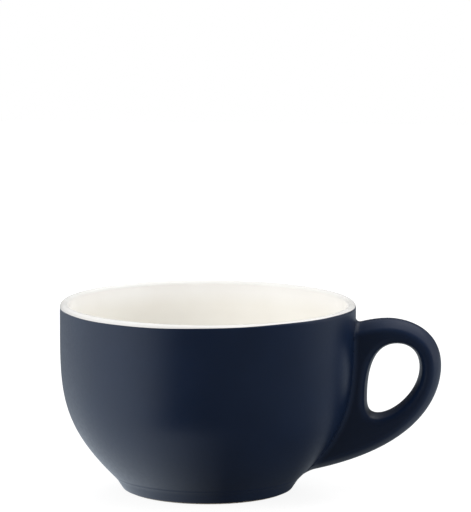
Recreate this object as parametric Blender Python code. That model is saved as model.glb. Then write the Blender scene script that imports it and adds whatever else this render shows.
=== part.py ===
"""Latte cup: a cast stoneware bowl with an ear handle luted to its wall, white inside, matt navy outside.

Lengths are in metres, +Z is up. The cup stands on the plane z = 0 and its handle points along +X.
The origin lies under the middle of the whole cup, handle included, so the bowl's own axis stands a little
to the left of it.
"""

import math

import bmesh
import bpy
from mathutils import Vector
from mathutils.geometry import interpolate_bezier

# Bowl, measured on its glaze: an upright wall that turns in towards the waist above the foot
RIM_RADIUS = 0.0513
HEIGHT = 0.0654
LIP_THICKNESS = 0.0030
UPRIGHT_DEPTH = 0.0100
SHOULDER_PULL = 0.0220
WAIST_SLOPE = math.radians(44.8)
WAIST_PULL = 0.0251

# Inside of the bowl: one thickness of wall down to the belly, then a round corner to the floor
WALL_THICKNESS = 0.0036
BELLY_PULL = 0.0090
FLOOR_HEIGHT = 0.0076
FLOOR_FLAT_RADIUS = 0.0100
FLOOR_PULL = 0.0180

# Foot: a rounded edge, a straight flank and a concave neck, with a shallow recess inside the ring
FOOT_RADIUS = 0.0282
FOOT_EDGE_RADIUS = 0.0020
FLANK_SLOPE = math.radians(56.7)
FLANK_LENGTH = 0.0029
NECK_RADIUS = 0.0110
FOOT_RING_WIDTH = 0.0030
FOOT_RING_DRAFT = 0.0008
RECESS_DEPTH = 0.0023

# Glaze coats, and the gap that keeps neighbouring solids apart
GLAZE = 0.0005
SEAT_GAP = 0.0003
GLAZE_LINE_DROP = 0.0010
BARE_EDGE_SLOPE = math.radians(32.0)

# Ear handle, set out from the rim's radius and hung from the rim's height; its outer face and its hole are
# crowned, so that they stand out most in the middle of the handle's depth
HANDLE_DEPTH = 0.0150
HANDLE_CROWN = 0.0032
HANDLE_EDGE_RADIUS = 0.0010
CREST_DROP = 0.00485
CREST_OUT = 0.0112
CREST_PULL_IN = 0.0058
CREST_PULL_OUT = 0.0065
BACK_DROP = 0.0166
BACK_PULL_UP = 0.01325
BACK_PULL_DOWN = 0.0085
UPPER_ROOT_DROP = 0.00355
UPPER_ROOT_SLOPE = math.radians(15.7)
UPPER_ROOT_PULL = 0.0058
LOWER_ROOT_HEIGHT = 0.0064
LOWER_PULL_OUT = 0.0206
LOWER_PULL_DROP = 0.0121
ROOT_SINK = 0.0063
SLIP_THICKNESS = 0.0010

# Finger hole: its width, and the clay left at the crest, the wall, the back and above the lower root
HOLE_CROWN = 0.0015
HOLE_EDGE_RADIUS = 0.0016
HOLE_BAND = 0.00865
HOLE_WEB = 0.0041
HOLE_WIDTH = 0.0180
HOLE_BACK_BAND = 0.00755
HOLE_SILL = 0.02065
HOLE_TOP_OUT = 0.01035
HOLE_TOP_PULL_IN = 0.00655
HOLE_TOP_PULL_OUT = 0.0049
HOLE_BACK_DROP = 0.0084
HOLE_BACK_PULL_UP = 0.0048
HOLE_BACK_PULL_DOWN = 0.0086
HOLE_BOTTOM_OUT = 0.00365
HOLE_BOTTOM_PULL_OUT = 0.0055
HOLE_BOTTOM_PULL_IN = 0.00345
HOLE_FRONT_RISE = 0.0060
HOLE_FRONT_PULL_DOWN = 0.0028
HOLE_FRONT_PULL_UP = 0.01265

# Facets
TURN_STEPS = 48
BOWL_POINTS = 11
BELLY_POINTS = 7
FLOOR_POINTS = 6
LIP_STEPS = 6
FOOT_STEPS = 2
OUTLINE_STEPS = 9
CROWN_STEPS = 6
EDGE_STEPS = 2
FACE_MARGIN = 0.0002
MERGE_DISTANCE = 0.00001
SMOOTH_ANGLE = math.radians(40)

# The clay lies under the glaze and the gap behind it, and the handle reaches past its hole
CLAY_DEPTH = GLAZE + SEAT_GAP
SLIP_FACE = SLIP_THICKNESS - GLAZE
HANDLE_PROJECTION = HOLE_WEB + HOLE_WIDTH + HOLE_BACK_BAND

STONEWARE = (0.80, 0.77, 0.71)
SLIP_CLAY = (0.74, 0.70, 0.63)
WHITE_GLAZE = (0.88, 0.87, 0.83)
NAVY_GLAZE = (0.012, 0.020, 0.038)
CLAY_ROUGHNESS = 0.85
GLOSS_ROUGHNESS = 0.12
MATT_ROUGHNESS = 0.55


def along(angle, length=1.0):
    """A step of the given length in the direction of an angle."""
    return length * Vector((math.cos(angle), math.sin(angle)))


def arc(centre, radius, start, end, steps):
    """Points on a circle from one angle to another, both ends included."""
    angles = [start + (end - start) * step / steps for step in range(steps + 1)]
    return [centre + along(angle, radius) for angle in angles]


def chain(*runs):
    """One outline from runs that meet end to end, each shared point kept once."""
    points = []
    for point in [point for run in runs for point in run]:
        if not points or (point - points[-1]).length > MERGE_DISTANCE:
            points.append(point)
    return points


def lip():
    """Half-round lip, over from the inside to the outside."""
    radius = LIP_THICKNESS / 2
    return arc(Vector((RIM_RADIUS - radius, HEIGHT - radius)), radius, math.pi, 0, LIP_STEPS)


def foot_side():
    """Outside of the foot, from the waist down to the end of the coat on the rounded edge."""
    quarter = math.pi / 2
    edge_centre = Vector((FOOT_RADIUS, FOOT_EDGE_RADIUS))
    edge = arc(edge_centre, FOOT_EDGE_RADIUS, FLANK_SLOPE - quarter, BARE_EDGE_SLOPE - quarter, FOOT_STEPS)
    flank_top = edge[0] + along(FLANK_SLOPE, FLANK_LENGTH)
    neck_centre = flank_top + along(FLANK_SLOPE - quarter, NECK_RADIUS)
    neck = arc(neck_centre, NECK_RADIUS, WAIST_SLOPE + quarter, FLANK_SLOPE + quarter, FOOT_STEPS)
    return chain(neck, edge)


def bowl_side():
    """Outside of the bowl, from the upright wall under the lip down to the waist above the foot."""
    waist = foot_side()[0]
    shoulder = Vector((RIM_RADIUS, HEIGHT - UPRIGHT_DEPTH))
    shoulder_pull = shoulder - Vector((0, SHOULDER_PULL))
    waist_pull = waist + along(WAIST_SLOPE, WAIST_PULL)
    return interpolate_bezier(shoulder, shoulder_pull, waist_pull, waist, BOWL_POINTS)


def outer_side():
    """Outside of the cup, from the upright wall under the lip down to the end of the coat at the foot."""
    return chain(bowl_side(), foot_side())


def inset(points, depth):
    """The outline moved square to itself, into the clay, so that every stretch keeps the same distance."""
    moved = []
    for index, point in enumerate(points):
        before = points[max(index - 1, 0)]
        after = points[min(index + 1, len(points) - 1)]
        steps = [step for step in (point - before, after - point) if step.length]
        normals = [Vector((step.y, -step.x)).normalized() for step in steps]
        middle = sum(normals, Vector((0, 0))).normalized()
        moved.append(point + middle * depth / middle.dot(normals[0]))
    return moved


def inner_side():
    """Inside of the bowl, from the middle of the floor up to the lip."""
    wall = inset(bowl_side()[:BELLY_POINTS], WALL_THICKNESS)
    belly = wall[-1]
    belly_pull = belly + (belly - wall[-2]).normalized() * BELLY_PULL
    floor_edge = Vector((FLOOR_FLAT_RADIUS, FLOOR_HEIGHT))
    floor_pull = floor_edge + Vector((FLOOR_PULL, 0))
    corner = interpolate_bezier(floor_edge, floor_pull, belly_pull, belly, FLOOR_POINTS)
    return chain([Vector((0, FLOOR_HEIGHT))], corner, wall[::-1])


def with_station(points, height):
    """The outline with a point added where it comes down through a height, and the place of that point."""
    for index in range(1, len(points)):
        above = points[index - 1]
        below = points[index]
        if above.y > height >= below.y:
            share = (above.y - height) / (above.y - below.y)
            station = above.lerp(below, share)
            return chain(points[:index], [station]) + points[index:], index
    raise ValueError("the outline never comes down to this height")


def wall_radius(height):
    """Radius of the outside of the bowl at a height."""
    points, index = with_station(outer_side(), height)
    return points[index].x


def give_material(piece, colour, roughness):
    """A plain material of the piece's own."""
    material = bpy.data.materials.new(piece.name)
    material.use_nodes = True
    shader = material.node_tree.nodes["Principled BSDF"]
    shader.inputs["Base Color"].default_value = (*colour, 1)
    shader.inputs["Roughness"].default_value = roughness
    shader.inputs["Metallic"].default_value = 0
    piece.data.materials.append(material)


def add_piece(name, mesh):
    """An object on the bowl's axis."""
    piece = bpy.data.objects.new(name, mesh)
    piece.parent = axis
    bpy.context.scene.collection.objects.link(piece)
    return piece


def as_cutter(piece):
    """A helper that shapes other pieces and isn't one itself."""
    piece.hide_render = True
    piece.display_type = "WIRE"
    return piece


def turned(name, outline, closed):
    """A piece turned on the bowl's axis from an outline of radius and height."""
    mesh = bpy.data.meshes.new(name)
    count = len(outline)
    edges = [(index, index + 1) for index in range(count - 1)]
    if closed:
        edges.append((count - 1, 0))
    mesh.from_pydata([(point.x, 0, point.y) for point in outline], edges, [])
    piece = add_piece(name, mesh)
    turn = piece.modifiers.new("turn", "SCREW")
    turn.steps = TURN_STEPS
    turn.render_steps = TURN_STEPS
    turn.use_merge_vertices = True
    turn.merge_threshold = MERGE_DISTANCE
    turn.use_smooth_shade = True
    return piece


def boolean(piece, other, operation):
    """Cut a piece with another or keep what they share."""
    step = piece.modifiers.new(other.name, "BOOLEAN")
    step.operation = operation
    step.object = other


def filled_bowl(name, growth):
    """Solid outer form of the bowl, grown outwards, for fitting pieces to the wall."""
    side = inset(outer_side(), -growth)
    top = [Vector((0, HEIGHT)), Vector((RIM_RADIUS + growth, HEIGHT))]
    return as_cutter(turned(name, chain(top, side, [Vector((0, side[-1].y))]), False))


def hole_corner():
    """Lower corner of the box around the finger hole, on the wall's side."""
    return Vector((RIM_RADIUS + HOLE_WEB, LOWER_ROOT_HEIGHT + HOLE_SILL))


def ear_outline():
    """Knots of the handle, each a pull in, a point and a pull out, clockwise from the upper root."""
    crest = Vector((RIM_RADIUS + CREST_OUT, HEIGHT - CREST_DROP))
    back = Vector((RIM_RADIUS + HANDLE_PROJECTION, crest.y - BACK_DROP))
    upper = Vector((RIM_RADIUS - ROOT_SINK, crest.y - UPPER_ROOT_DROP))
    lower = Vector((wall_radius(LOWER_ROOT_HEIGHT), LOWER_ROOT_HEIGHT))
    lower_pull = hole_corner() + Vector((LOWER_PULL_OUT, -LOWER_PULL_DROP))
    # Inside the bowl the roots run on far enough for the crowned sides to close behind the wall
    run_on = ROOT_SINK + 2 * (HANDLE_CROWN + HANDLE_EDGE_RADIUS)
    upper_sunk = upper - along(UPPER_ROOT_SLOPE, run_on)
    lower_sunk = lower - (lower_pull - lower).normalized() * run_on
    return [
        (upper, upper, upper + along(UPPER_ROOT_SLOPE, UPPER_ROOT_PULL)),
        (crest - Vector((CREST_PULL_IN, 0)), crest, crest + Vector((CREST_PULL_OUT, 0))),
        (back + Vector((0, BACK_PULL_UP)), back, back - Vector((0, BACK_PULL_DOWN))),
        (lower_pull, lower, lower),
        (lower_sunk, lower_sunk, lower_sunk),
        (upper_sunk, upper_sunk, upper_sunk),
    ]


def hole_outline():
    """Knots of the finger hole, clockwise from its top."""
    corner = hole_corner()
    ceiling = HEIGHT - CREST_DROP - HOLE_BAND
    top = Vector((corner.x + HOLE_TOP_OUT, ceiling))
    back = Vector((corner.x + HOLE_WIDTH, ceiling - HOLE_BACK_DROP))
    bottom = corner + Vector((HOLE_BOTTOM_OUT, 0))
    front = corner + Vector((0, HOLE_FRONT_RISE))
    return [
        (top - Vector((HOLE_TOP_PULL_IN, 0)), top, top + Vector((HOLE_TOP_PULL_OUT, 0))),
        (back + Vector((0, HOLE_BACK_PULL_UP)), back, back - Vector((0, HOLE_BACK_PULL_DOWN))),
        (bottom + Vector((HOLE_BOTTOM_PULL_OUT, 0)), bottom, bottom - Vector((HOLE_BOTTOM_PULL_IN, 0))),
        (front - Vector((0, HOLE_FRONT_PULL_DOWN)), front, front + Vector((0, HOLE_FRONT_PULL_UP))),
    ]


def points_along(knots):
    """Points all along a closed outline of knots, only the ends of its straight runs."""
    runs = []
    for (_, start, pull_out), (pull_in, end, _) in zip(knots, knots[1:] + knots[:1]):
        straight = pull_out == start and pull_in == end
        steps = 2 if straight else OUTLINE_STEPS
        runs.append(interpolate_bezier(start, pull_out, pull_in, end, steps))
    return chain(*runs)[:-1]


def crown_share():
    """Share of the crowns that leaves a flat on the handle's sides where its clay is narrowest."""
    around = points_along(ear_outline())
    narrowest = min((point - other).length for point in points_along(hole_outline()) for other in around)
    room = narrowest - HANDLE_EDGE_RADIUS - HOLE_EDGE_RADIUS
    return min(1, room / (HANDLE_CROWN + HOLE_CROWN))


def across(crown, edge):
    """Surface across the handle's depth: place in the depth and height over the outline."""
    half = HANDLE_DEPTH / 2
    lean = math.atan(2 * crown / half)
    touch = half - edge + edge * math.sin(lean)
    places = [touch * (2 * step / CROWN_STEPS - 1) for step in range(CROWN_STEPS + 1)]
    crowned = [Vector((place, -crown * (place / half) ** 2)) for place in places]
    edge_centre = crowned[-1] - along(math.pi / 2 - lean, edge)
    rounded = arc(edge_centre, edge, math.pi / 2 - lean, 0, EDGE_STEPS)
    rounded.append(rounded[-1] - Vector((0, FACE_MARGIN)))
    mirrored = [Vector((-point.x, point.y)) for point in rounded[::-1]]
    return chain(mirrored, crowned, rounded)


def ear_mesh(name, growth):
    """The handle as a crowned plate with a hole, grown outwards, its roots sunk into the bowl."""
    share = crown_share()
    shape = bmesh.new()
    for knots, crown, edge, clay_side in (
        (ear_outline(), HANDLE_CROWN, HANDLE_EDGE_RADIUS, 1),
        (hole_outline(), HOLE_CROWN, HOLE_EDGE_RADIUS, -1),
    ):
        outline = points_along(knots)
        closed = outline[-1:] + outline + outline[:1]
        rings = []
        for place in inset(across(crown * share, edge), -growth):
            ring = inset(closed, -clay_side * place.y)[1:-1]
            rings.append([shape.verts.new((point.x, place.x, point.y)) for point in ring])
        for ring, after in zip(rings, rings[1:]):
            for index in range(len(ring)):
                shape.faces.new((ring[index - 1], ring[index], after[index], after[index - 1]))
    for side in (-1, 1):
        rims = [rim for rim in shape.edges if rim.is_boundary and rim.verts[0].co.y * side > 0]
        bmesh.ops.triangle_fill(shape, use_beauty=True, edges=rims)
    bmesh.ops.recalc_face_normals(shape, faces=shape.faces)
    mesh = bpy.data.meshes.new(name)
    shape.to_mesh(mesh)
    shape.free()
    mesh.shade_smooth()
    mesh.set_sharp_from_angle(angle=SMOOTH_ANGLE)
    return mesh


for leftover in list(bpy.data.objects):
    bpy.data.objects.remove(leftover)

# The bowl's axis, with the whole cup centred over the origin
axis = bpy.data.objects.new("bowl_axis", None)
axis.location = (-HANDLE_PROJECTION / 2, 0, 0)
bpy.context.scene.collection.objects.link(axis)

# The glazed outline, with a station at each side of the line where white meets navy under the lip
glazed, white_end = with_station(chain(inner_side(), lip(), outer_side()), HEIGHT - GLAZE_LINE_DROP)
glazed, navy_start = with_station(glazed, HEIGHT - GLAZE_LINE_DROP - SEAT_GAP)
under_glaze = inset(glazed, GLAZE)
clay = inset(glazed, CLAY_DEPTH)

# Bowl of clay, with its bare foot ring around the recess
ring_inside = FOOT_RADIUS - FOOT_RING_WIDTH
recess_radius = ring_inside - FOOT_RING_DRAFT
foot_ring = [
    Vector((FOOT_RADIUS, 0)),
    Vector((ring_inside, 0)),
    Vector((recess_radius, RECESS_DEPTH)),
    Vector((0, RECESS_DEPTH)),
]
cup_body = turned("cup_body", clay + foot_ring, False)
give_material(cup_body, STONEWARE, CLAY_ROUGHNESS)

# White coat over the inside and the lip
white_face = glazed[:white_end + 1]
white_back = under_glaze[:white_end + 1]
inner_glaze = turned("inner_glaze", white_face + white_back[::-1], False)
give_material(inner_glaze, WHITE_GLAZE, GLOSS_ROUGHNESS)

# Navy coat on the outside, left open where the handle's root passes through it
navy_face = glazed[navy_start:]
navy_back = under_glaze[navy_start:]
root_opening = as_cutter(add_piece("root_opening", ear_mesh("root_opening", -GLAZE)))
outer_glaze = turned("outer_glaze", navy_face + navy_back[::-1], True)
boolean(outer_glaze, root_opening, "DIFFERENCE")
give_material(outer_glaze, NAVY_GLAZE, MATT_ROUGHNESS)

# Navy coat in the recess under the cup
coat_top = RECESS_DEPTH - SEAT_GAP
coat_radius = recess_radius - SEAT_GAP
recess_coat = [
    Vector((0, coat_top)),
    Vector((coat_radius, coat_top)),
    Vector((coat_radius, coat_top - GLAZE)),
    Vector((0, coat_top - GLAZE)),
]
base_glaze = turned("base_glaze", recess_coat, False)
give_material(base_glaze, NAVY_GLAZE, MATT_ROUGHNESS)

# Slip that lutes the handle to the wall
slip_joint = add_piece("handle_slip_joint", ear_mesh("handle_slip_joint", -CLAY_DEPTH))
boolean(slip_joint, filled_bowl("slip_outer_face", SLIP_FACE), "INTERSECT")
boolean(slip_joint, filled_bowl("slip_wall_face", -GLAZE), "DIFFERENCE")
give_material(slip_joint, SLIP_CLAY, CLAY_ROUGHNESS)

# Handle of clay, ending on the slip
handle = add_piece("handle", ear_mesh("handle", -CLAY_DEPTH))
boolean(handle, filled_bowl("handle_seat", SLIP_FACE + SEAT_GAP), "DIFFERENCE")
give_material(handle, STONEWARE, CLAY_ROUGHNESS)

# Navy coat around the handle, ending on the bowl's coat
handle_glaze = add_piece("handle_glaze", ear_mesh("handle_glaze", 0))
boolean(handle_glaze, filled_bowl("coat_seat", SEAT_GAP), "DIFFERENCE")
boolean(handle_glaze, root_opening, "DIFFERENCE")
give_material(handle_glaze, NAVY_GLAZE, MATT_ROUGHNESS)
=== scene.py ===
import math

import bmesh
import bpy
import numpy as np
from mathutils import Matrix, Vector


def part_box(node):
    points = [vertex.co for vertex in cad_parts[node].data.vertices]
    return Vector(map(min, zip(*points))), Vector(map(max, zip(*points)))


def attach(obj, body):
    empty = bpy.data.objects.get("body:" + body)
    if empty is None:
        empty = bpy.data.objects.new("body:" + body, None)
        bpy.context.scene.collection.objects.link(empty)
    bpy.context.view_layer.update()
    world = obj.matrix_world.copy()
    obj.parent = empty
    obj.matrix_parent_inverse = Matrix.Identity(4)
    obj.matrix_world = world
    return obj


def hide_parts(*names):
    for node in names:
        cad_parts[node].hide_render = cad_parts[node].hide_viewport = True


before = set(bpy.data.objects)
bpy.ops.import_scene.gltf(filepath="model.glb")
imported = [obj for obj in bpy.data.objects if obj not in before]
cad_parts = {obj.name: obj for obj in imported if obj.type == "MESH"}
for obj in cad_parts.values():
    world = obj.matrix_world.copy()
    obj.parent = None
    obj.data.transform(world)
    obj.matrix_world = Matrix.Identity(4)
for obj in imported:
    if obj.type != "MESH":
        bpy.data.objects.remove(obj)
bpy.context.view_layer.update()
scene = bpy.context.scene

# Bowl: a wide cup of cast stoneware with an upright rim and a narrow foot. It is glazed all over, apart from
# the ring that it stands on, which is wiped back to the sandy clay so that it doesn't stick in the kiln.
RIM_RADIUS = 0.0513
HEIGHT = 0.0654
LIP_RADIUS = 0.0015
RIM_BAND = 0.0040
SHOULDER = (RIM_RADIUS, 0.0554)
SHOULDER_PULL = (RIM_RADIUS, 0.0334)
WAIST = (0.03282, 0.00497)
WAIST_PULL = (0.05063, 0.02266)
WAIST_SLOPE = 44.8
NECK_CENTRE = (0.04057, -0.00284)
NECK_RADIUS = 0.0110
FLANK_SLOPE = 56.7
FOOT_RADIUS = 0.0282
FOOT_EDGE_RADIUS = 0.0020
BARE_EDGE_SLOPE = 32.0
RING_WIDTH = 0.0030
RING_DRAFT = 0.0008
RING_EDGE_RADIUS = 0.0004
RECESS_HEIGHT = 0.0023
WALL_THICKNESS = 0.0036
BELLY_PULL = 0.0090
FLOOR_HEIGHT = 0.0076
FLOOR_FLAT_RADIUS = 0.0100
FLOOR_PULL = 0.0180
GLAZE = 0.0005
BELLY_POINTS = 39
TURN_STEPS = 288
SAME_PLACE = 1e-7
SHARP_EDGE = math.radians(50)
CLAY_DARK = (0.56, 0.49, 0.39)
CLAY_LIGHT = (0.72, 0.66, 0.56)

base_low, base_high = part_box("base_glaze")
AXIS_X = (base_low.x + base_high.x) / 2


def bend(start, start_pull, end_pull, end, steps):
    """Points on a smooth bend between two places, each with the point that it sets out towards."""
    share = np.linspace(0, 1, steps + 1)[:, None]
    rest = 1 - share
    ends = rest**3 * np.array(start) + share**3 * np.array(end)
    return ends + 3 * rest**2 * share * np.array(start_pull) + 3 * rest * share**2 * np.array(end_pull)


def arc(centre, radius, start, end, steps):
    """Points on a circle between two angles, in degrees."""
    angles = np.radians(np.linspace(start, end, steps + 1))
    return np.array(centre) + radius * np.stack((np.cos(angles), np.sin(angles)), 1)


def joined(*runs):
    """One outline from runs that meet end to end, each shared point kept once."""
    points = np.concatenate([np.atleast_2d(run) for run in runs])
    steps = np.linalg.norm(np.diff(points, axis=0), axis=1)
    return points[np.concatenate(([True], steps > SAME_PLACE))]


def sunk(outline, depth):
    """An outline moved square to itself, towards the clay."""
    heading = np.gradient(outline, axis=0)
    heading /= np.linalg.norm(heading, axis=1)[:, None]
    return outline + np.stack((heading[:, 1], -heading[:, 0]), 1) * np.reshape(depth, (-1, 1))


# Outline of radius and height as the glaze shows it, down the outside to the end of the coat at the foot
foot_edge_centre = (FOOT_RADIUS, FOOT_EDGE_RADIUS)
bowl_side = bend(SHOULDER, SHOULDER_PULL, WAIST_PULL, WAIST, steps=64)
neck = arc(NECK_CENTRE, NECK_RADIUS, WAIST_SLOPE + 90, FLANK_SLOPE + 90, steps=8)
foot_edge = arc(foot_edge_centre, FOOT_EDGE_RADIUS, FLANK_SLOPE - 90, BARE_EDGE_SLOPE - 90, steps=8)
wall = joined((RIM_RADIUS, HEIGHT - RIM_BAND), bowl_side, neck, foot_edge)

# The same from the middle of the floor up the inside
inner_wall = sunk(bowl_side, WALL_THICKNESS)[:BELLY_POINTS][::-1]
belly = inner_wall[0]
belly_slope = (belly - inner_wall[1]) / np.linalg.norm(belly - inner_wall[1])
floor_edge = np.array((FLOOR_FLAT_RADIUS, FLOOR_HEIGHT))
floor_bend = bend(floor_edge, floor_edge + (FLOOR_PULL, 0), belly + BELLY_PULL * belly_slope, belly, steps=30)
inside = joined((0, FLOOR_HEIGHT), floor_bend, inner_wall)


def new_piece(name, corners, faces, join_within=0):
    """A smooth piece with its faces turned out, and with corners that lie within a distance joined."""
    mesh = bpy.data.meshes.new(name)
    mesh.from_pydata(corners.tolist(), [], faces)
    shape = bmesh.new()
    shape.from_mesh(mesh)
    if join_within:
        bmesh.ops.remove_doubles(shape, verts=shape.verts, dist=join_within)
    bmesh.ops.recalc_face_normals(shape, faces=shape.faces)
    shape.to_mesh(mesh)
    shape.free()
    mesh.shade_smooth()
    piece = bpy.data.objects.new(name, mesh)
    scene.collection.objects.link(piece)
    return piece


def turned(name, outline_at):
    """A piece turned on the cup's axis from a closed outline, which may differ a little between angles."""
    turns = np.linspace(0, 2 * math.pi, TURN_STEPS, endpoint=False)
    rows = np.array([outline_at(turn) for turn in turns])
    count = rows.shape[1]
    across, up = rows[..., 0], rows[..., 1]
    corners = np.stack((AXIS_X + across * np.cos(turns)[:, None], across * np.sin(turns)[:, None], up), 2)
    faces = []
    for turn in range(TURN_STEPS):
        here = turn * count
        there = (turn + 1) % TURN_STEPS * count
        for point in range(count):
            after = (point + 1) % count
            if across[0, point] > 0 or across[0, after] > 0:
                faces.append((here + point, here + after, there + after, there + point))
    piece = new_piece(name, corners.reshape(-1, 3), faces, join_within=SAME_PLACE)
    piece.data.set_sharp_from_angle(angle=SHARP_EDGE)
    return piece


lip_centre = (RIM_RADIUS - LIP_RADIUS, HEIGHT - LIP_RADIUS)
ring_inside = FOOT_RADIUS - RING_WIDTH
recess_radius = ring_inside - RING_DRAFT
clay_line = joined(
    sunk(inside, GLAZE),
    arc(lip_centre, LIP_RADIUS - GLAZE, 180, 0, steps=12),
    sunk(wall, GLAZE),
    arc((FOOT_RADIUS, RING_EDGE_RADIUS), RING_EDGE_RADIUS, 10, -90, steps=6),
    arc((ring_inside + RING_EDGE_RADIUS, RING_EDGE_RADIUS), RING_EDGE_RADIUS, -90, -160, steps=6),
    (recess_radius, RECESS_HEIGHT),
    (0, RECESS_HEIGHT),
)
stoneware_bowl = turned("stoneware_bowl", lambda turn: clay_line)


def new_material(name):
    """A material and its nodes, with a texture place that is measured on the piece itself."""
    material = bpy.data.materials.new(name)
    material.use_nodes = True
    tree = material.node_tree
    place = tree.nodes.new("ShaderNodeTexCoord").outputs["Object"]
    return material, tree, tree.nodes["Principled BSDF"], place


def noise(tree, place, size, detail):
    """Irregular grain with features of about one size, in metres."""
    node = tree.nodes.new("ShaderNodeTexNoise")
    node.inputs["Scale"].default_value = 1 / size
    node.inputs["Detail"].default_value = detail
    tree.links.new(place, node.inputs["Vector"])
    return node.outputs["Fac"]


def shades(tree, share, *stops):
    """Colours along a scale, each with its place on it."""
    node = tree.nodes.new("ShaderNodeValToRGB")
    ramp = node.color_ramp
    for position, _ in stops[2:]:
        ramp.elements.new(position)
    for element, (position, colour) in zip(ramp.elements, stops):
        element.position = position
        element.color = (*colour, 1)
    tree.links.new(share, node.inputs["Fac"])
    return node.outputs["Color"]


def spread(tree, share, low, high, start=0.3, end=0.7):
    """A number that goes from low to high while a share goes from start to end, the middle of a grain."""
    node = tree.nodes.new("ShaderNodeMapRange")
    for socket, value in (("From Min", start), ("From Max", end), ("To Min", low), ("To Max", high)):
        node.inputs[socket].default_value = value
    tree.links.new(share, node.inputs["Value"])
    return node.outputs["Result"]


def relief(tree, shader, *grains):
    """Small rises and dips, each grain with its height in metres."""
    for share, height in grains:
        node = tree.nodes.new("ShaderNodeBump")
        node.inputs["Distance"].default_value = height
        tree.links.new(share, node.inputs["Height"])
        below = shader.inputs["Normal"]
        if below.is_linked:
            tree.links.new(below.links[0].from_socket, node.inputs["Normal"])
        tree.links.new(node.outputs["Normal"], below)


def clay_material(name, dark, light):
    """Bare fired clay: sandy, with fine iron specks."""
    iron = (0.16, 0.10, 0.06, 1)
    material, tree, shader, place = new_material(name)
    sand = noise(tree, place, 0.0006, detail=3)
    specks = noise(tree, place, 0.0011, detail=1)
    body = shades(tree, sand, (0.30, dark), (0.70, light))
    speckled = tree.nodes.new("ShaderNodeMix")
    speckled.data_type = "RGBA"
    speckled.inputs["B"].default_value = iron
    tree.links.new(spread(tree, specks, -2.6, 1.1), speckled.inputs["Factor"])
    tree.links.new(body, speckled.inputs["A"])
    tree.links.new(speckled.outputs["Result"], shader.inputs["Base Color"])
    tree.links.new(spread(tree, sand, 0.78, 0.92), shader.inputs["Roughness"])
    relief(tree, shader, (sand, 0.00006), (specks, 0.00004))
    return material


stoneware_bowl.data.materials.append(clay_material("bare_stoneware", CLAY_DARK, CLAY_LIGHT))
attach(stoneware_bowl, "root")
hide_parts("cup_body")

# White glaze: a glossy, slightly creamy coat poured into the cup and over its lip. Its colour carries painted
# light that makes it whiter and more neutral under the rim, and painted shade that darkens the lip; lower down
# it is creamier. It ends just outside the lip, on a line that the hand and the sponge leave a little uneven.
LINE_HEIGHT = 0.06420
LINE_TILT = 0.00064
TILT_TURN = 2.17
LINE_WAVE = 0.0002
WAVE_TURN = 1.95
LINE_RIPPLE = 0.00004
LIP_STEPS = 48
TONE_DEPTH = 0.0120
WHITE_IOR = 1.52

rim = joined(arc(lip_centre, LIP_RADIUS, 180, 0, LIP_STEPS), wall[0])
rim_length = np.concatenate(([0], np.cumsum(np.linalg.norm(np.diff(rim, axis=0), axis=1))))
up_the_outside = slice(None, LIP_STEPS // 2, -1)


def line_length(turn):
    """How far over the lip, from its inside, the white stops and the navy starts."""
    height = LINE_HEIGHT + LINE_TILT * math.sin(turn + TILT_TURN) + LINE_WAVE * math.sin(3 * turn - WAVE_TURN)
    height += LINE_RIPPLE * math.sin(11 * turn)
    return np.interp(height, rim[up_the_outside, 1], rim_length[up_the_outside])


def rim_run(start, end, steps):
    """Points over the lip between two lengths from its inside."""
    lengths = np.linspace(start, end, steps + 1)
    return np.stack([np.interp(lengths, rim_length, rim[:, side]) for side in (0, 1)], 1)


def white_line(turn):
    """The white coat's outline at one angle: its face from the floor to the line, and its back."""
    face = joined(inside, rim_run(0, line_length(turn), steps=24))
    return np.concatenate((face, sunk(face, GLAZE)[::-1]))


white_coat = turned("white_coat", white_line)


def white_material(name):
    """White gloss glaze: creamy, with painted light under the rim, painted shade on the lip, faint clouds of
    tone and a slightly uneven face.
    """
    material, tree, shader, place = new_material(name)
    clouds = noise(tree, place, 0.022, detail=2)
    orange_peel = noise(tree, place, 0.0035, detail=1)
    pinholes = noise(tree, place, 0.0009, detail=0)
    height = tree.nodes.new("ShaderNodeSeparateXYZ")
    tree.links.new(place, height.inputs["Vector"])
    # Tone by height: creamy lower down, painted light that whitens it under the rim, and painted shade that
    # darkens the lip.
    near_rim = spread(tree, height.outputs["Z"], 0, 1, HEIGHT - TONE_DEPTH, HEIGHT)
    cream_painted_light_and_shade = shades(tree, near_rim, (0.30, (0.880, 0.865, 0.822)), (0.70, (0.908, 0.902, 0.885)),
                   (0.86, (0.900, 0.893, 0.878)), (0.95, (0.832, 0.828, 0.811)))
    faint = shades(tree, clouds, (0.30, (0.965, 0.955, 0.945)), (0.70, (1, 1, 1)))
    cloudy = tree.nodes.new("ShaderNodeMix")
    cloudy.data_type = "RGBA"
    cloudy.blend_type = "MULTIPLY"
    cloudy.inputs["Factor"].default_value = 1
    tree.links.new(cream_painted_light_and_shade, cloudy.inputs["A"])
    tree.links.new(faint, cloudy.inputs["B"])
    tree.links.new(cloudy.outputs["Result"], shader.inputs["Base Color"])
    tree.links.new(spread(tree, orange_peel, 0.18, 0.26), shader.inputs["Roughness"])
    shader.inputs["IOR"].default_value = WHITE_IOR
    relief(tree, shader, (clouds, 0.00010), (orange_peel, 0.00001), (pinholes, 0.000003))
    return material


white_coat.data.materials.append(white_material("white_gloss_glaze"))
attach(white_coat, "root")
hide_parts("inner_glaze")

# Navy glaze on the bowl: a matt coat sprayed on the outside, from the line under the lip to the edge of the
# foot, where it ends in a thin round roll and leaves the clay bare.
ROLL = 0.0006
NAVY_IOR = 1.58


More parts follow.
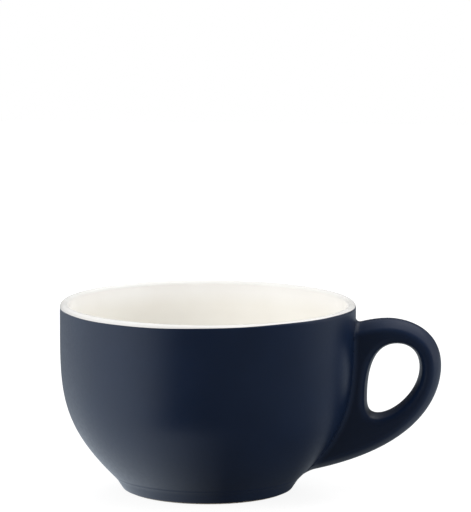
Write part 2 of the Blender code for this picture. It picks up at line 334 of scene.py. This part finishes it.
def navy_line(turn):
    """The navy coat's outline at one angle: its face from the line to the rolled end, and its back."""
    face = joined(rim_run(line_length(turn), rim_length[-1], steps=16), wall)
    steps = np.linalg.norm(np.diff(face, axis=0), axis=1)
    to_end = np.concatenate((np.cumsum(steps[::-1])[::-1], [0]))
    short = np.clip(1 - to_end / ROLL, 0, 1)
    rolled = sunk(face, GLAZE * (1 - np.sqrt(1 - short**2)))
    return np.concatenate((rolled, sunk(face, GLAZE)[::-1]))


navy_coat = turned("navy_coat", navy_line)


def navy_material(name):
    """Matt navy glaze: a deep blue, a little uneven in tone, with a fine eggshell surface."""
    material, tree, shader, place = new_material(name)
    clouds = noise(tree, place, 0.016, detail=3)
    eggshell = noise(tree, place, 0.0012, detail=2)
    crystals = noise(tree, place, 0.00035, detail=1)
    deep = shades(tree, clouds, (0.30, (0.0051, 0.0143, 0.0419)), (0.70, (0.0057, 0.0161, 0.0474)))
    tree.links.new(deep, shader.inputs["Base Color"])
    shader.inputs["IOR"].default_value = NAVY_IOR
    tree.links.new(spread(tree, eggshell, 0.33, 0.39), shader.inputs["Roughness"])
    relief(tree, shader, (eggshell, 0.00001), (crystals, 0.000004))
    return material


navy_coat.data.materials.append(navy_material("navy_matt_glaze"))
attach(navy_coat, "root")
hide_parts("outer_glaze")

# Navy glaze under the cup: the same coat in the shallow recess inside the foot ring. It is brushed on, so it
# creeps a little way onto the ring's side and is thickest in the corner.
CORNER_WIDTH = 0.0030
CORNER_PULL = 0.0020
CREEP_OUT = 0.0003
CREEP_DOWN = 0.0009
CREEP_PULL = (-0.0004, 0.0007)

coat_low = RECESS_HEIGHT - GLAZE
corner = np.array((recess_radius - CORNER_WIDTH, coat_low))
creep = np.array((recess_radius + CREEP_OUT, coat_low - CREEP_DOWN))
base_line = joined(
    (0, coat_low),
    bend(corner, corner + (CORNER_PULL, 0), creep + CREEP_PULL, creep, steps=12),
    (recess_radius, RECESS_HEIGHT),
    (0, RECESS_HEIGHT),
)
base_coat = turned("base_coat", lambda turn: base_line)
base_coat.data.materials.append(navy_material("navy_base_glaze"))
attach(base_coat, "root")
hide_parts("base_glaze")

# Handle of clay and the slip that lutes it to the wall: both lie inside the navy coat, so they stay as they
# were made, in the same sandy stoneware and in the finer, greyer slip.
SLIP_DARK = (0.50, 0.45, 0.38)
SLIP_LIGHT = (0.64, 0.59, 0.51)

for node, slot, dark, light in (
    ("handle", "handle_stoneware", CLAY_DARK, CLAY_LIGHT),
    ("handle_slip_joint", "slip", SLIP_DARK, SLIP_LIGHT),
):
    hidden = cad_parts[node]
    hidden.data.materials.clear()
    hidden.data.materials.append(clay_material(slot, dark, light))

# Navy glaze on the handle: an ear with flat sides, a crowned outer face, soft edges and a finger hole, and a
# web that runs down the wall to the foot. The coat flows into the bowl's in a small hollow all round the root.
EAR_DEPTH = 0.0150
EAR_CROWN = 0.0032
EAR_EDGE = 0.0010
HOLE_CROWN = 0.0015
HOLE_EDGE = 0.0018
ROOT_HOLLOW = 0.0018
ROOT_SKIRT = 0.0009
ROOT_BITE = 0.0003
HAIR = 0.00003
GRAIN = 0.00045
SETTLE_ROUNDS = 4
LEAST_SLOPE = 0.25


def outline_through(*knots):
    """A closed smooth outline through knots, each a pull in, a point and a pull out."""
    runs = []
    for (_, start, start_pull), (end_pull, end, _) in zip(knots, knots[1:] + knots[:1]):
        runs.append(bend(start, start_pull, end_pull, end, steps=48))
    return joined(*runs)[:-1]


ear = outline_through(
    ((0.0450, 0.0570), (0.0450, 0.0570), (0.0506, 0.05857)),
    ((0.0567, 0.06055), (0.0625, 0.06055), (0.0690, 0.06055)),
    ((0.08095, 0.0572), (0.08095, 0.04395), (0.08095, 0.03555)),
    ((0.07615, 0.01553), (0.0360, 0.0068), (0.0360, 0.0068)),
    ((0.0300, 0.0055), (0.0300, 0.0055), (0.0300, 0.0055)),
)
hole = outline_through(
    ((0.0592, 0.0519), (0.06575, 0.0519), (0.07065, 0.0519)),
    ((0.07342, 0.04833), (0.07342, 0.04353), (0.07342, 0.0349)),
    ((0.06455, 0.02705), (0.05905, 0.02705), (0.0556, 0.02705)),
    ((0.0554, 0.0302), (0.0554, 0.03303), (0.0554, 0.04569)),
)


def beyond(across, up, outline):
    """Distance outside a closed outline, negative inside it."""
    nearest = np.inf
    within = False
    for (x, z), (x_after, z_after) in zip(outline, np.roll(outline, -1, 0)):
        dx, dz = x_after - x, z_after - z
        share = np.clip(((across - x) * dx + (up - z) * dz) / (dx * dx + dz * dz), 0, 1)
        nearest = np.minimum(nearest, np.hypot(across - x - share * dx, up - z - share * dz))
        passes = (z > up) != (z_after > up)
        within = within ^ (passes & (across < x + (up - z) * dx / (dz or 1)))
    return np.where(within, -nearest, nearest)


def both_rounded(first, second, radius):
    """Inside of both shapes, with the edge between them rounded."""
    over = np.hypot(np.maximum(first + radius, 0), np.maximum(second + radius, 0))
    return np.minimum(np.maximum(first, second), -radius) + over


def either_hollowed(first, second, radius):
    """Inside of either shape, with a hollow of one radius where they meet."""
    under = np.hypot(np.maximum(radius - first, 0), np.maximum(radius - second, 0))
    return np.maximum(np.minimum(first, second), radius) - under


def ear_depth(x, y, z):
    """Distance outside the ear."""
    face = np.abs(y) - EAR_DEPTH / 2
    crown = (2 * y / EAR_DEPTH)**2
    outside = both_rounded(beyond(x, z, ear) + EAR_CROWN * crown, face, EAR_EDGE)
    inside_hole = both_rounded(HOLE_CROWN * crown - beyond(x, z, hole), face, HOLE_EDGE)
    return np.maximum(outside, inside_hole)


wall_up = wall[::-1]
wall_lean = 1 / np.hypot(1, np.gradient(wall_up[:, 0], wall_up[:, 1]))


def wall_depth(x, y, z):
    """Distance outside the bowl's wall."""
    radius = np.interp(z, wall_up[:, 1], wall_up[:, 0])
    return (np.hypot(x, y) - radius) * np.interp(z, wall_up[:, 1], wall_lean)


def coat_depth(x, y, z):
    """Distance outside the handle's coat: the ear and its hollow root, which ends a hair under the wall."""
    from_ear = ear_depth(x, y, z)
    from_wall = wall_depth(x, y, z)
    body = either_hollowed(from_ear, from_wall + HAIR, ROOT_HOLLOW)
    return np.maximum(body, np.maximum(-from_wall - ROOT_BITE, from_ear - ROOT_HOLLOW - ROOT_SKIRT))


def settled(depth, corners):
    """Corners moved onto the surface where a depth is nought."""
    small = GRAIN / 40
    for _ in range(SETTLE_ROUNDS):
        slope = []
        for step in small * np.eye(3):
            slope.append((depth(*(corners + step).T) - depth(*(corners - step).T)) / (2 * small))
        slope = np.stack(slope, 1)
        move = depth(*corners.T) / np.maximum((slope**2).sum(1), LEAST_SLOPE)
        corners = corners - np.clip(move, -GRAIN / 2, GRAIN / 2)[:, None] * slope
    return corners


def carved(depth, low, high):
    """Corners and faces of the surface where a depth is nought, carved from a block in small cells."""
    sides = [np.arange(start, end, GRAIN) for start, end in zip(low, high)]
    value = depth(sides[0][:, None, None], sides[1][None, :, None], sides[2][None, None, :])
    total = np.zeros((*[len(side) - 1 for side in sides], 3))
    count = np.zeros(total.shape[:3])
    quads = []
    for axis in range(3):
        near, far = np.moveaxis(value, axis, 0)[:-1], np.moveaxis(value, axis, 0)[1:]
        crossing = (near < 0) != (far < 0)
        share = np.where(crossing, near / np.where(crossing, near - far, 1), 0)
        others = [other for other in range(3) if other != axis]
        order = np.argsort([axis, *others])
        steps = [np.arange(size) for size in crossing.shape]
        spots = np.stack(np.meshgrid(*steps, indexing="ij"), -1).astype(float)
        spots[..., 0] += share
        cell_total = np.moveaxis(total, axis, 0)
        cell_count = np.moveaxis(count, axis, 0)
        _, rows, columns = cell_count.shape
        for back in (0, 1):
            for side in (0, 1):
                window = (slice(None), slice(back, back + rows), slice(side, side + columns))
                cell_total += (crossing[window][..., None] * spots[window])[..., order]
                cell_count += crossing[window]
        first, second, third = np.nonzero(crossing[:, 1:-1, 1:-1])
        ring = []
        for back, side in ((0, 0), (1, 0), (1, 1), (0, 1)):
            cell = np.stack((first, second + back, third + side))[order]
            ring.append(np.ravel_multi_index(cell, count.shape))
        ring = np.stack(ring, 1)
        flip = (near[:, 1:-1, 1:-1][first, second, third] < 0) == (axis == 1)
        ring[flip] = ring[flip][:, ::-1]
        quads.append(ring)
    used = np.nonzero(count.ravel())[0]
    number = np.zeros(count.size, int)
    number[used] = np.arange(len(used))
    corners = total.reshape(-1, 3)[used] / count.ravel()[used][:, None] * GRAIN + np.array(low)
    return settled(depth, corners), number[np.concatenate(quads)]


# The block holds the whole ear, its hollow root and a little more
reach = EAR_DEPTH / 2 + 3 * ROOT_HOLLOW
block_low = (0.0310, -reach, 0.0050)
block_high = (0.0820, reach, 0.0620)
corners, faces = carved(coat_depth, block_low, block_high)
handle_coat = new_piece("handle_coat", corners + (AXIS_X, 0, 0), faces.tolist())
handle_coat.data.materials.append(navy_material("navy_handle_glaze"))
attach(handle_coat, "root")
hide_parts("handle_glaze")

# Floor: a plain white table top. To the eye it is as white as the room around it, and it keeps the cup's soft
# shadow close around the foot.
FLOOR_REACH = 1.2
FLOOR_GREY = 0.20

floor_mesh = bpy.data.meshes.new("floor")
floor_mesh.from_pydata([(x, y, 0) for x, y in ((-1, -1), (1, -1), (1, 1), (-1, 1))], [], [(0, 1, 2, 3)])
floor = bpy.data.objects.new("floor", floor_mesh)
floor.scale = (FLOOR_REACH, FLOOR_REACH, 1)
scene.collection.objects.link(floor)
material, tree, shader, _ = new_material("white_table")
shader.inputs["Base Color"].default_value = (FLOOR_GREY, FLOOR_GREY, FLOOR_GREY, 1)
shader.inputs["Roughness"].default_value = 0.9
shader.inputs["Specular IOR Level"].default_value = 0
shader.inputs["Emission Color"].default_value = (1, 1, 1, 1)


def white_to_eye(tree, other, white, strength):
    """A level of white for the eye, a reflection or a look through glass, and another for other light."""
    rays = tree.nodes.new("ShaderNodeLightPath")
    either = rays.outputs["Is Camera Ray"]
    for ray in ("Is Glossy Ray", "Is Transmission Ray"):
        larger = tree.nodes.new("ShaderNodeMath")
        larger.operation = "MAXIMUM"
        tree.links.new(either, larger.inputs[0])
        tree.links.new(rays.outputs[ray], larger.inputs[1])
        either = larger.outputs["Value"]
    tree.links.new(spread(tree, either, other, white, 0, 1), strength)


white_to_eye(tree, 0.10, 0.88, shader.inputs["Emission Strength"])
material.cycles.emission_sampling = "NONE"
floor_mesh.materials.append(material)

# Light: a white tent with soft boxes on the left, behind, on the right and overhead. Rings of cards, which
# only the glaze mirrors, are bright on the left and the right and dim in front and behind. On the table they
# are a little blue, as the table is beside a navy cup.
CUP_MIDDLE = 0.04
CARD_STEPS = 48
PLAIN = (1, 1, 1)
BLUISH = (0.9, 1, 1.1)

world = bpy.data.worlds.new("white_tent")
scene.world = world
world.use_nodes = True
world.cycles.sampling_method = "NONE"
background = world.node_tree.nodes["Background"]
background.inputs["Color"].default_value = (1, 1, 1, 1)
white_to_eye(world.node_tree, 0.66, 1, background.inputs["Strength"])


def around(bearing, radius, height):
    """A place at a bearing from the cup's axis, in degrees from the handle's side towards the back."""
    turn = math.radians(bearing)
    return Vector((AXIS_X + radius * math.cos(turn), radius * math.sin(turn), height))


def soft_box(name, place, width, watts):
    """A square soft box that faces the cup and isn't mirrored in it."""
    lamp = bpy.data.lights.new(name, "AREA")
    lamp.size = width
    lamp.energy = watts
    box = bpy.data.objects.new(name, lamp)
    box.location = place
    box.rotation_euler = (around(0, 0, CUP_MIDDLE) - place).to_track_quat("-Z", "Y").to_euler()
    box.visible_camera = False
    box.visible_glossy = False
    scene.collection.objects.link(box)


soft_box("left_box", around(210, 0.91, 0.46), 0.55, watts=4.0)
soft_box("back_box", around(90, 0.91, 0.46), 0.55, watts=5.5)
soft_box("right_box", around(0, 0.99, 0.145), 0.40, watts=4.0)
soft_box("top_box", around(0, 0.03, 1.04), 0.55, watts=3.8)


def tent_ring(name, low, high, tint, *levels):
    """A ring of cards between two edges of radius and height. Each level stands at a bearing, from the front
    by the handle's side and the back to the front again."""
    foot = around(0, 0, 0)
    corners = []
    for step in range(CARD_STEPS):
        bearing = 360 * step / CARD_STEPS
        corners += [around(bearing, *low) - foot, around(bearing, *high) - foot]
    faces = []
    for start in range(0, 2 * CARD_STEPS, 2):
        after = (start + 2) % (2 * CARD_STEPS)
        faces.append((start, start + 1, after + 1, after))
    mesh = bpy.data.meshes.new(name)
    mesh.from_pydata(corners, [], faces)
    material = bpy.data.materials.new(name)
    material.use_nodes = True
    tree = material.node_tree
    turn = tree.nodes.new("ShaderNodeTexGradient")
    turn.gradient_type = "RADIAL"
    tree.links.new(tree.nodes.new("ShaderNodeTexCoord").outputs["Object"], turn.inputs["Vector"])
    glow = tree.nodes.new("ShaderNodeEmission")
    stops = [((bearing + 90) % 360 / 360, [level * part for part in tint]) for bearing, level in levels]
    tree.links.new(shades(tree, turn.outputs["Fac"], *stops), glow.inputs["Color"])
    tree.links.new(glow.outputs["Emission"], tree.nodes["Material Output"].inputs["Surface"])
    mesh.materials.append(material)
    ring = bpy.data.objects.new(name, mesh)
    ring.location = foot
    ring.rotation_euler = (0, 0, math.pi / 2)
    ring.visible_camera = False
    ring.visible_diffuse = False
    ring.visible_shadow = False
    ring.visible_transmission = False
    scene.collection.objects.link(ring)


tent_ring("near_table_cards", (0.0285, 0.0005), (0.08, 0.0005), BLUISH,
          (270, 0.22), (285, 0.07), (345, 0.09), (20, 0.31), (60, 0.60), (120, 0.85),
          (165, 1), (210, 1), (230, 0.90), (250, 0.55), (269, 0.23))
tent_ring("table_cards", (0.08, 0.0005), (1.29, 0.0005), BLUISH,
          (270, 0), (345, 0.14), (20, 0.38), (60, 0.42), (120, 0.38),
          (165, 1), (210, 1), (230, 0.80), (250, 0))
tent_ring("wall_cards", (1.30, 0), (1.30, 0.85), PLAIN,
          (340, 0), (15, 0.60), (45, 0.20), (80, 0.10), (150, 0), (180, 0.68), (205, 0.68), (235, 0))
tent_ring("roof_cards", (1.30, 0.85), (0.01, 1.60), PLAIN,
          (330, 0), (30, 0.62), (60, 0.80), (110, 0.10), (190, 0))

# Camera: a long lens in front of the cup and a little above its rim, with the handle turned a few degrees
# towards it. It aims above the cup, so that the cup stands low in the picture.
LENS = 242.3
LENS_DISTANCE = 1.2
DOWN = math.radians(10.6)
HANDLE_TURN = math.radians(3.5)
ROLL_ANGLE = math.radians(0.2)
CENTRE_HEIGHT = 0.032
AIM_RIGHT = 0.00955
AIM_UP = 0.04903

centre = around(0, 0, CENTRE_HEIGHT)
right = Vector((math.cos(HANDLE_TURN), math.sin(HANDLE_TURN), 0))
away = Vector((
    -math.sin(HANDLE_TURN) * math.cos(DOWN),
    math.cos(HANDLE_TURN) * math.cos(DOWN),
    -math.sin(DOWN),
))
upward = right.cross(away)
camera_data = bpy.data.cameras.new("camera")
camera_data.sensor_fit = "VERTICAL"
camera_data.sensor_height = 36
camera_data.lens = LENS
camera_data.clip_start = 0.05
camera = bpy.data.objects.new("camera", camera_data)
camera.location = centre - away * LENS_DISTANCE
aim = centre + right * AIM_RIGHT + upward * AIM_UP
look = (aim - camera.location).to_track_quat("-Z", "Y").to_matrix().to_4x4()
camera.rotation_euler = (look @ Matrix.Rotation(ROLL_ANGLE, 4, "Z")).to_euler()
scene.collection.objects.link(camera)
scene.camera = camera
scene.view_settings.view_transform = "Standard"

bpy.context.view_layer.update()
